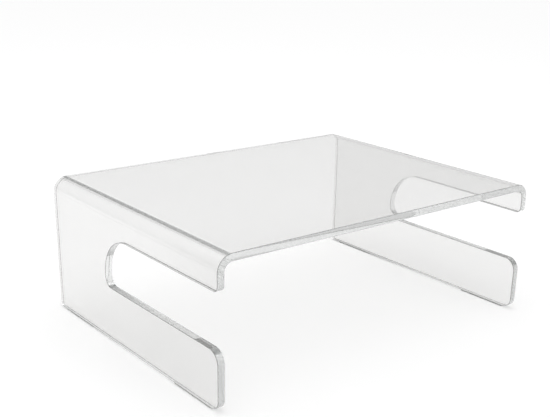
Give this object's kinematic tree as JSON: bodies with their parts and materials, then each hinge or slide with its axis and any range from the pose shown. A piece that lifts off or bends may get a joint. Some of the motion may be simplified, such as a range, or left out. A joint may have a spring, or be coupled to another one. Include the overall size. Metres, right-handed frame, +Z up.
{
  "type": "monitor riser stand",
  "caption": "Clear bent-acrylic monitor riser with a flat deck and C-shaped sides open at the front, so that a keyboard slides in under the deck.",
  "frame": {"origin": "centre of the footprint, on the desk", "axes": "+X across the stand to its right end, +Y from the open front to the back, +Z up"},
  "size_m": [0.38, 0.284, 0.137],
  "materials": {
    "clear_acrylic": "polished",
    "clear_strip": "satin",
    "adhesive_film": "satin"
  },
  "bodies": {
    "root": {"acrylic_riser": "clear_acrylic", "foot_strip_front_left": "clear_strip", "foot_strip_front_right": "clear_strip", "foot_strip_rear_left": "clear_strip", "foot_strip_rear_right": "clear_strip", "foot_adhesive_front_left": "adhesive_film", "foot_adhesive_front_right": "adhesive_film", "foot_adhesive_rear_left": "adhesive_film", "foot_adhesive_rear_right": "adhesive_film"}
  },
  "joints": []
}
